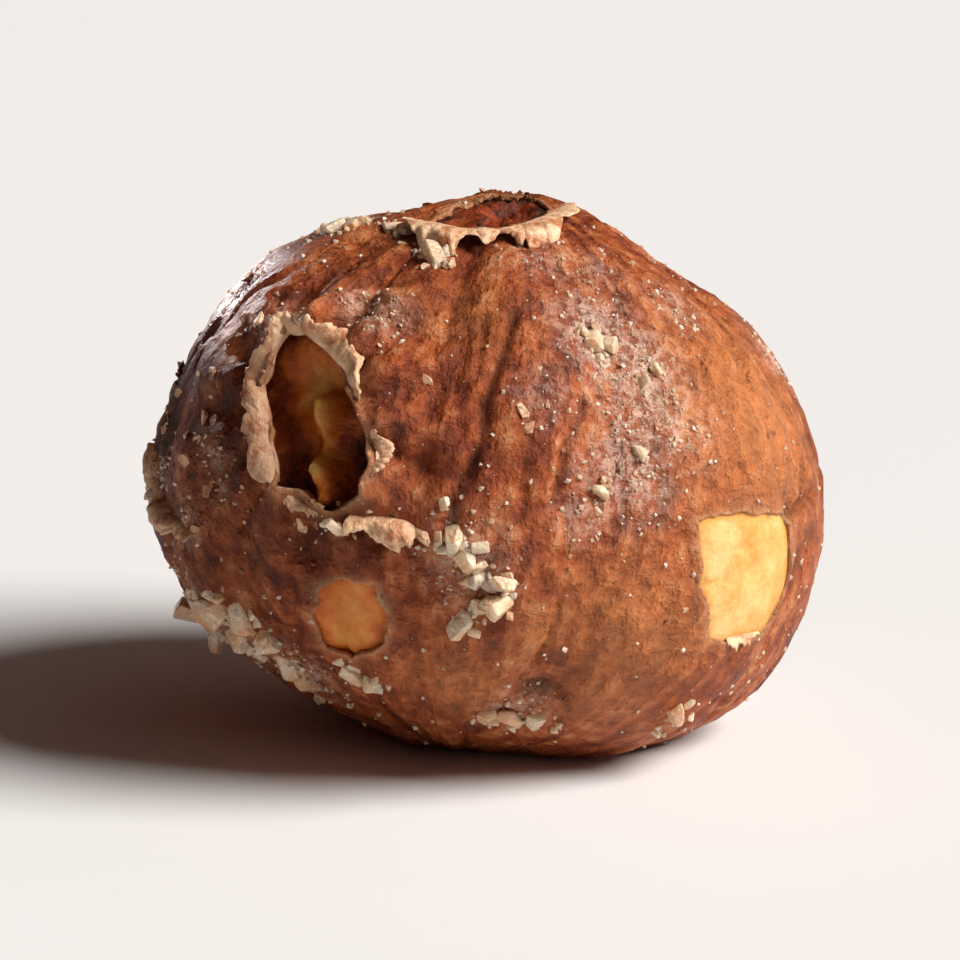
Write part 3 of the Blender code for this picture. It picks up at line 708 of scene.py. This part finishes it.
def makeFlesh(material):
    dirs, faces = ballGrid(flesh["cells"])
    covered = kernelRadius(dirs) + skinRelief(dirs) - skin["thickness"] - flesh["underSkin"]
    radius = np.minimum(kernelRadius(dirs) - flesh["below"] + bumps(dirs, flesh["bumps"]), covered)
    for azimuth, x, y, reach, depth in flesh["pits"]:
        pit = np.exp(-((spotAway(dirs, azimuth, x, y) / reach) ** 4))
        radius -= pit * (depth + bumps(dirs, flesh["pitBumps"]))
    sliver = np.exp(-((lineAway(dirs, flesh["sliver"]) / flesh["sliverWidth"]) ** 2))
    sliver *= np.clip(flesh["sliverShare"] + bumps(dirs, flesh["sliverBumps"]), *flesh["sliverLimits"])
    radius += flesh["sliverHeight"] * sliver
    roast = np.full(len(dirs), flesh["roast"])
    for name, azimuth, _, brown, corners in bare["places"]:
        distance = edgeDistance(dirs, azimuth, corners)
        rise = np.clip((flesh["proudReach"] - distance) / flesh["proudFall"], 0, 1)
        radius += flesh["proud"].get(name, 0.0) * rise
        stain = flesh["stain"] * np.exp(-np.abs(distance) / flesh["stainReach"])
        roast = np.maximum(roast, (brown + stain) * np.clip(flesh["roastReach"] - distance, 0, 1))
    # painted light on the tear's left wall, painted shade deeper in the tear
    roast -= spotWeight(dirs, flesh["golden"])
    roast = np.maximum(roast, spotWeight(dirs, flesh["paintedShadeInTear"]))
    roast += (flesh["sliverRoast"] - roast) * sliver
    points = inPlace(dirs * radius[:, None])
    points[:, 2] = np.maximum(points[:, 2], flesh["lowest"] * mm)
    finishPiece(makePiece("kernelFlesh", points, faces, material, {"roast": roast}))


print("stage: kernel flesh")
makeFlesh(creamFlesh())


def makeSkin(material):
    dirs, faces = ballGrid(skin["cells"])
    ragged = sum(bumps(dirs, pattern) for pattern in bare["ragged"])
    uneven = np.clip(bare["liftShare"] + bumps(dirs, bare["liftBumps"]), *bare["liftLimits"])
    field = np.full(len(dirs), farOff)
    lifted = np.zeros(len(dirs))
    for _, azimuth, lift, _, corners in bare["places"]:
        distance = edgeDistance(dirs, azimuth, corners) + ragged
        field = np.minimum(field, distance)
        lifted += lift * uneven * np.exp(-np.clip(distance, 0, None) / bare["liftReach"])
    radius = kernelRadius(dirs) + skinRelief(dirs) + bumps(dirs, skin["grit"]) + lifted
    points = np.clip(inPlace(dirs * radius[:, None]), cadLow, cadHigh)
    rows = skinMarks(dirs)
    rows["torn"] = skin["tornEdge"] * np.exp(-np.clip(field, 0, None) / skin["tornReach"])
    points, faces, rows = cutAway(points, faces, field, rows)
    piece = makePiece("papery_skin", points, faces, material, rows)
    finishPiece(piece)
    return piece


print("stage: skin")
skinPiece = makeSkin(papery())

# Flaps of torn skin, each rolled outwards from an edge
flaps = {
    # view azimuth, root line, away from, radius of the roll, turn in degrees, paleness
    "list": [
        (0, [(-4.2, 8.4), (-4.6, 7.6), (-4.5, 6.7), (-4.25, 5.6)], (-3.3, 7.0), 0.34, 120, 0.6),
        (0, [(-4.4, 8.0), (-4.05, 8.65), (-3.55, 8.6)], (-3.75, 7.4), 0.28, 115, 0.9),
        (0, [(-3.75, 8.65), (-3.35, 8.35), (-2.9, 7.85), (-2.65, 7.15)], (-3.9, 7.0), 0.34, 125, 1.0),
        (0, [(-2.35, 5.6), (-2.25, 6.2), (-2.45, 6.8)], (-3.75, 6.4), 0.2, 140, 0.7),
        (0, [(-4.25, 5.5), (-3.7, 5.4), (-3.2, 5.1)], (-3.75, 7.0), 0.26, 120, 0.65),
        (0, [(-7.0, 6.4), (-6.95, 5.7), (-6.6, 4.95), (-6.1, 4.5)], (-5.2, 5.8), 0.42, 140, 0.8),
        (0, [(-2.75, 4.95), (-2.2, 4.9), (-1.7, 4.85), (-1.2, 4.6)], (-2.0, 6.2), 0.34, 150, 0.9),
        (0, [(-1.5, 11.05), (-1.0, 10.9), (-0.5, 10.78), (0.15, 10.78), (0.5, 10.85)],
         (-0.3, 11.7), 0.58, 168, 1.0),
        (0, [(0.1, 10.78), (0.6, 10.88), (1.05, 11.1), (1.55, 11.5)], (0.2, 11.9), 0.52, 165, 1.0),
        (0, [(5.0, 2.3), (5.7, 2.5)], (5.3, 3.8), 0.2, 120, 1.0),
        (165, [(0.1, 8.2), (-0.35, 7.4), (-0.2, 6.6)], (1.5, 7.4), 0.34, 160, 0.9),
        (165, [(1.4, 5.75), (2.0, 5.9), (2.6, 6.3)], (1.5, 7.4), 0.26, 150, 0.9),
        (250, [(0.6, 5.7), (1.1, 5.9), (1.6, 5.95)], (1.1, 4.9), 0.2, 115, 0.9),
        (108, [(0.3, 7.7), (0.35, 7.3), (0.5, 7.1)], (1.0, 7.7), 0.24, 150, 0.9),
    ],
    "stations": 64, "steps": 16, "thick": 0.04, "edgeThick": 0.35, "squeeze": 0.4, "seed": 5,
    "sunk": 0.12, "endShare": 0.08, "endTaper": 0.6, "tightest": 0.6, "outerPale": 0.12,
    "ragged": [(0.6, 4), (0.2, 10), (0.1, 29)],  # how far the free edge wanders, and how often
    # how far it is crumpled, where the noise is read, how often along the root and up the flap
    "crumpled": [(0.08, 9, 7, 3), (0.06, 4, 19, 5)],
}


def closedSheet(sheet, thick):
    # two faces of a sheet, thinner towards its free edge, joined all round
    rows, columns, _ = sheet.shape
    normal = unit(np.cross(np.gradient(sheet, axis=0), np.gradient(sheet, axis=1)))
    half = thick / 2 * np.linspace(1.0, flaps["edgeThick"], columns)[None, :, None]
    points = np.concatenate([(sheet + normal * half).reshape(-1, 3), (sheet - normal * half).reshape(-1, 3)])
    side = rows * columns
    grid = np.arange(side).reshape(rows, columns)
    quads = np.stack([grid[:-1, :-1], grid[1:, :-1], grid[1:, 1:], grid[:-1, 1:]], axis=-1).reshape(-1, 4)
    border = np.concatenate([grid[0, :-1], grid[:-1, -1], grid[-1, :0:-1], grid[:0:-1, 0]])
    follow = np.roll(border, -1)
    walls = np.stack([border, follow, follow + side, border + side], axis=-1)
    return points, np.concatenate([quads, quads[:, ::-1] + side, walls])


def squeezeIn(points, depth):
    # presses what nears the sides of the kernel's own box into it, with nothing folded over
    low, high = np.array(cadLow), np.array(cadHigh)
    over = np.clip(points - (high - depth), 0, None)
    points = points - over + depth * (1 - np.exp(-over / depth))
    under = np.clip((low + depth) - points, 0, None)
    return points + under - depth * (1 - np.exp(-under / depth))


def makeFlaps(material):
    draw = random.Random(flaps["seed"])
    points, faces, inner = [], [], []
    offset = 0
    for azimuth, root, awayFrom, radius, turn, pale in flaps["list"]:
        centre = seenAt(azimuth, *awayFrom)
        phase = draw.uniform(0, 50)
        sheet = np.zeros((flaps["stations"], flaps["steps"] + 1, 3))
        spans = np.linspace(0, len(root) - 1, flaps["stations"])
        for station, span in enumerate(spans):
            share = span / (len(root) - 1)
            x, y = (np.interp(span, range(len(root)), column) for column in zip(*root))
            outwards = seenAt(azimuth, float(x), float(y))
            reach = kernelRadius(outwards[None, :])[0] + puckerRelief(outwards[None, :])[0]
            foot = outwards * (reach - flaps["sunk"])
            away = unit(outwards - centre * (outwards @ centre))
            away = unit(away - outwards * (away @ outwards))
            ragged = sum(most * noise.noise(Vector((phase, share * often, often)))
                         for most, often in flaps["ragged"])
            middle = flaps["endShare"] + (1 - 2 * flaps["endShare"]) * share
            width = math.sin(math.pi * middle) ** flaps["endTaper"] * (1 + ragged)
            roll = radius * (flaps["tightest"] + (1 - flaps["tightest"]) * width)
            for step in range(flaps["steps"] + 1):
                along = step / flaps["steps"]
                angle = math.radians(turn) * width * along
                crumple = along * sum(most * noise.noise(Vector((phase + start, share * across, along * up)))
                                      for most, start, across, up in flaps["crumpled"])
                sheet[station, step] = foot + away * (roll * (1 - math.cos(angle)) + crumple) + outwards * (
                    roll * math.sin(angle) + crumple)
        made, quads = closedSheet(sheet, flaps["thick"])
        half, quarter = flaps["stations"] // 2, flaps["steps"] // 4
        rise, reach = sheet[half, quarter] - sheet[half, 0], centre - sheet[half, 0]
        toCentre = (sheet[0, 0] - sheet[-1, 0]) @ np.cross(rise, reach)
        sides = (pale, flaps["outerPale"]) if toCentre > 0 else (flaps["outerPale"], pale)
        points.append(made)
        faces.append(quads + offset)
        inner.append(np.repeat(sides, len(made) // 2))
        offset += len(made)
    points = squeezeIn(inPlace(np.concatenate(points)), flaps["squeeze"] * mm)
    piece = makePiece("torn_curls", points, np.concatenate(faces), material, {"inner": np.concatenate(inner)})
    bm = bmesh.new()
    bm.from_mesh(piece.data)
    bmesh.ops.recalc_face_normals(bm, faces=bm.faces)
    bm.to_mesh(piece.data)
    bm.free()
    finishPiece(piece)


print("stage: torn flaps")
tornSkin = innerSkin()
makeFlaps(tornSkin)


# Salt and crumbs of skin
socketKinds = {str: "NodeSocketString", int: "NodeSocketInt", float: "NodeSocketFloat"}


def newTree(name, values):
    # a tree for a host mesh, with an input for each of its values
    tree = bpy.data.node_groups.new(name, "GeometryNodeTree")
    tree.interface.new_socket("Host", in_out="INPUT", socket_type="NodeSocketGeometry")
    for label, value in values.items():
        tree.interface.new_socket(label, in_out="INPUT", socket_type=socketKinds[type(value)])
    tree.interface.new_socket("Made", in_out="OUTPUT", socket_type="NodeSocketGeometry")
    add = partial(addNode, tree)
    return tree, add, add("NodeGroupInput").outputs


def grow(name, host, tree, values):
    # runs a tree on a host mesh and keeps the result as a plain mesh inside the kernel's own box
    modifier = host.modifiers.new("grow", "NODES")
    modifier.node_group = tree
    for socket in tree.interface.items_tree:
        if socket.name in values:
            modifier[socket.identifier] = values[socket.name]
    mesh = bpy.data.meshes.new_from_object(host.evaluated_get(bpy.context.evaluated_depsgraph_get()))
    host.modifiers.remove(modifier)
    mesh.name = name
    points = np.zeros(len(mesh.vertices) * 3, np.float32)
    mesh.vertices.foreach_get("co", points)
    points = np.clip(points.reshape(-1, 3), cadLow, cadHigh)
    mesh.vertices.foreach_set("co", points.ravel())
    finishPiece(newObject(name, mesh))
    print("  ", name, "has", len(mesh.polygons), "faces")


salt = {
    # x and height from the front, size
    "grains": [
        (-3.4, 10.75, 0.4), (-3.1, 10.85, 0.5), (-2.8, 10.9, 0.42), (-2.5, 11.0, 0.3), (-2.0, 11.0, 0.42),
        (-1.65, 10.9, 0.5), (-1.45, 10.45, 0.4), (-1.1, 10.2, 0.55), (-0.85, 10.3, 0.35), (-6.95, 5.3, 0.35),
        (-6.2, 2.8, 0.85), (-5.65, 2.95, 0.95), (-5.1, 2.75, 0.8), (-5.8, 2.35, 0.7), (-5.2, 2.3, 0.6),
        (-4.55, 2.3, 0.6), (-4.2, 1.75, 0.6), (-3.75, 1.4, 0.55), (-3.5, 1.05, 0.45), (-2.75, 1.6, 0.6),
        (-2.35, 1.45, 0.5), (-0.65, 4.45, 0.65), (-0.4, 4.0, 0.6), (-0.15, 3.6, 0.5), (0.25, 3.55, 0.55),
        (0.25, 3.15, 0.6), (-0.15, 3.05, 0.5), (-0.5, 2.7, 0.5), (-3.0, 4.7, 0.4), (0.0, 0.75, 0.5),
        (0.5, 0.7, 0.6), (1.0, 0.65, 0.5), (3.9, 0.8, 0.55), (2.2, 8.5, 0.5), (1.95, 8.65, 0.3),
        (2.5, 8.4, 0.38), (2.3, 8.15, 0.28), (3.45, 7.9, 0.28), (3.2, 7.6, 0.32), (2.3, 5.4, 0.4),
        (3.1, 6.2, 0.32),
    ],
    # the other sides: how many are tried, their size, how far they stray, what they keep clear of
    "scatter": 84, "scatterSize": (0.35, 0.7), "stray": 0.13, "facing": -0.3, "lowest": 1.3, "clear": 0.25,
    "apart": 0.16, "seed": 23,
    "chips": 8, "chipSize": (0.15, 0.5), "chipSpread": 0.36,  # smaller pieces of crystal round each grain
    "sunk": 0.08,
    "shapes": 9, "breaks": 6, "breakAt": (0.33, 0.52), "worn": 0.05,
    "stretch": ((0.8, 0.65, 0.4), (1.4, 1.0, 0.85)),
}


def grainPoints():
    draw = random.Random(salt["seed"])
    places = [(seenAt(0, x, y), size) for x, y, size in salt["grains"]]
    golden = math.pi * (3 - math.sqrt(5))
    tilt = math.radians(studio["lookDown"])
    front = np.array((0.0, -math.cos(tilt), math.sin(tilt)))
    placed = [p for p, _ in places]
    for i in range(salt["scatter"]):
        z = 1 - 2 * (i + 0.5) / salt["scatter"]
        flat = math.sqrt(1 - z * z)
        shake = [draw.uniform(-salt["stray"], salt["stray"]) for _ in range(3)]
        direction = unit(np.array((flat * math.cos(golden * i), flat * math.sin(golden * i), z)) + shake)
        height = middleHeight + direction[2] * kernelRadius(direction[None, :])[0]
        onBare = any(edgeDistance(direction[None, :], azimuth, corners)[0] < salt["clear"]
                     for _, azimuth, _, _, corners in bare["places"])
        near = any(float(direction @ other) > math.cos(salt["apart"]) for other in placed)
        if height > salt["lowest"] and not onBare and not near and direction @ front < salt["facing"]:
            places.append((direction, draw.uniform(*salt["scatterSize"])))
    spots, sizes = [], []
    for direction, size in places:
        spots.append(direction)
        sizes.append(size)
        for _ in range(salt["chips"]):
            shake = np.array([draw.gauss(0, 1) for _ in range(3)]) * size * salt["chipSpread"]
            spots.append(unit(direction + shake / middleHeight))
            sizes.append(size * draw.uniform(*salt["chipSize"]))
    spots, sizes = np.array(spots), np.array(sizes)
    radius = kernelRadius(spots) + skinRelief(spots) + sizes * salt["sunk"]
    return inPlace(spots * radius[:, None]), sizes, spots


def makeChunks():
    # broken crystals: a cube with its corners knocked off and its edges worn
    draw = random.Random(salt["seed"])
    store = bpy.data.collections.new("chunks")
    for i in range(salt["shapes"]):
        bm = bmesh.new()
        bmesh.ops.create_cube(bm, size=1.0)
        for _ in range(salt["breaks"]):
            towards = Vector([draw.gauss(0, 1) for _ in range(3)]).normalized()
            bmesh.ops.bisect_plane(bm, geom=bm.verts[:] + bm.edges[:] + bm.faces[:], plane_no=towards,
                                   plane_co=towards * draw.uniform(*salt["breakAt"]), clear_outer=True)
            hull = bmesh.new()
            for vert in bm.verts:
                hull.verts.new(vert.co)
            bmesh.ops.convex_hull(hull, input=hull.verts)
            bmesh.ops.dissolve_limit(hull, angle_limit=0.02, verts=hull.verts, edges=hull.edges)
            bm.free()
            bm = hull
        bmesh.ops.bevel(bm, geom=bm.edges[:], offset=salt["worn"], segments=1, affect="EDGES")
        mesh = bpy.data.meshes.new(f"chunk{i}")
        bm.to_mesh(mesh)
        bm.free()
        store.objects.link(bpy.data.objects.new(f"chunk{i}", mesh))
    return store


def tumble(add, given, upright, size, least, most):
    # turns each instance at random from upright, and stretches it at random between least and most times size
    seed = {"Seed": given["Seed"]}
    spin = add("FunctionNodeRandomValue", {"data_type": "FLOAT_VECTOR", "Min": (-1, -1, -3.1),
                                           "Max": (1, 1, 3.1)}, seed)
    spin = add("ShaderNodeVectorMath", {"operation": "SCALE"}, {0: spin, "Scale": given["Lean"]})
    spin = add("FunctionNodeEulerToRotation", {}, {0: spin})
    turned = add("FunctionNodeRotateRotation", {"rotation_space": "LOCAL"},
                 {"Rotation": upright, "Rotate By": spin})
    stretch = add("FunctionNodeRandomValue", {"data_type": "FLOAT_VECTOR", "Min": least, "Max": most}, seed)
    stretch = add("ShaderNodeVectorMath", {"operation": "SCALE"}, {0: stretch, "Scale": size})
    return {"Rotation": turned, "Scale": stretch}


def endTree(add, material, made):
    made = add("GeometryNodeSetMaterial", {"Material": material}, {"Geometry": made})
    add("NodeGroupOutput", {}, {0: made})


crystals = {"Unit": mm, "Lean": 1.0, "Seed": 4}


def crystalTree(material, chunks):
    # a broken crystal at every point of the host, turned and stretched at random
    tree, add, given = newTree("saltCrystals", crystals)
    size = add("GeometryNodeInputNamedAttribute", {"data_type": "FLOAT", "Name": "size"})
    size = add("ShaderNodeMath", {"operation": "MULTIPLY"}, {0: size, 1: given["Unit"]})
    outward = add("GeometryNodeInputNamedAttribute", {"data_type": "FLOAT_VECTOR", "Name": "outward"})
    upright = add("FunctionNodeAlignRotationToVector", {"axis": "Z"}, {"Vector": outward})
    shapes = add("GeometryNodeCollectionInfo", {"Collection": chunks, "Separate Children": True,
                                                "Reset Children": True})
    made = add("GeometryNodeInstanceOnPoints", {"Pick Instance": True},
               {"Points": given["Host"], "Instance": shapes,
                **tumble(add, given, upright, size, *salt["stretch"])})
    made = add("GeometryNodeRealizeInstances", {}, {0: made})
    endTree(add, material, made)
    return tree


bits = {"smallBias": 2.5, "stretch": ((0.7, 0.5, 0.7), (1.3, 1.0, 1.2))}  # over 1, most bits are small
dust = {"Where": "frost", "Most": 80 / mm ** 2, "Smallest": 0.025 * mm, "Largest": 0.14 * mm, "Sides": 4,
        "Thickness": 0.7, "Lean": 1.0, "Ragged": 0.006 * mm, "Seed": 3}
crumbs = {"Where": "dark", "Most": 2.2 / mm ** 2, "Smallest": 0.12 * mm, "Largest": 0.38 * mm, "Sides": 7,
          "Thickness": 0.16, "Lean": 0.4, "Ragged": 0.035 * mm, "Seed": 8}


def bitsTree(name, material, values):
    # small bits strewn on a surface, as thick as an attribute of it says
    tree, add, given = newTree(name, values)
    seed = {"Seed": given["Seed"]}
    weight = add("GeometryNodeInputNamedAttribute", {"data_type": "FLOAT"}, {"Name": given["Where"]})
    density = add("ShaderNodeMath", {"operation": "MULTIPLY"}, {0: weight, 1: given["Most"]})
    points = add("GeometryNodeDistributePointsOnFaces", {"distribute_method": "RANDOM"},
                 {"Mesh": given["Host"], "Density": density, **seed})
    bit = add("GeometryNodeMeshCylinder", {"Radius": 0.5},
              {"Vertices": given["Sides"], "Depth": given["Thickness"]})
    chance = add("FunctionNodeRandomValue", {"data_type": "FLOAT"}, seed)
    chance = add("ShaderNodeMath", {"operation": "POWER", 1: bits["smallBias"]}, {0: chance})
    size = add("ShaderNodeMapRange", {},
               {"Value": chance, "To Min": given["Smallest"], "To Max": given["Largest"]})
    made = add("GeometryNodeInstanceOnPoints", {},
               {"Points": points, "Instance": bit,
                **tumble(add, given, points.outputs["Rotation"], size, *bits["stretch"])})
    # paler or browner, as the material of torn skin reads it
    made = add("GeometryNodeStoreNamedAttribute", {"data_type": "FLOAT", "domain": "INSTANCE",
                                                   "Name": "inner"}, {"Geometry": made, "Value": chance})
    made = add("GeometryNodeRealizeInstances", {}, {0: made})
    shake = add("FunctionNodeRandomValue", {"data_type": "FLOAT_VECTOR", "Min": (-1, -1, -1)}, seed)
    shake = add("ShaderNodeVectorMath", {"operation": "SCALE"}, {0: shake, "Scale": given["Ragged"]})
    made = add("GeometryNodeSetPosition", {}, {"Geometry": made, "Offset": shake})
    made = add("GeometryNodeSetShadeSmooth", {"Shade Smooth": False}, {0: made})
    endTree(add, material, made)
    return tree


def makeSalt():
    material = saltCrystal()
    points, sizes, outward = grainPoints()
    host = makePiece("salt_points", points, [], None, {"size": sizes, "outward": outward})
    chunks = makeChunks()
    grow("salt_grains", host, crystalTree(material, chunks), crystals)
    for used in [host, *chunks.objects]:
        bpy.data.objects.remove(used)
    grow("salt_dust", skinPiece, bitsTree("saltDust", material, dust), dust)
    grow("skin_crumbs", skinPiece, bitsTree("skinCrumbs", tornSkin, crumbs), crumbs)


print("stage: salt and crumbs")
makeSalt()

wall = skinPiece.modifiers.new("wall", "SOLIDIFY")
wall.thickness = skin["thickness"] * mm
wall.offset = -1.0

print("stage: finish")
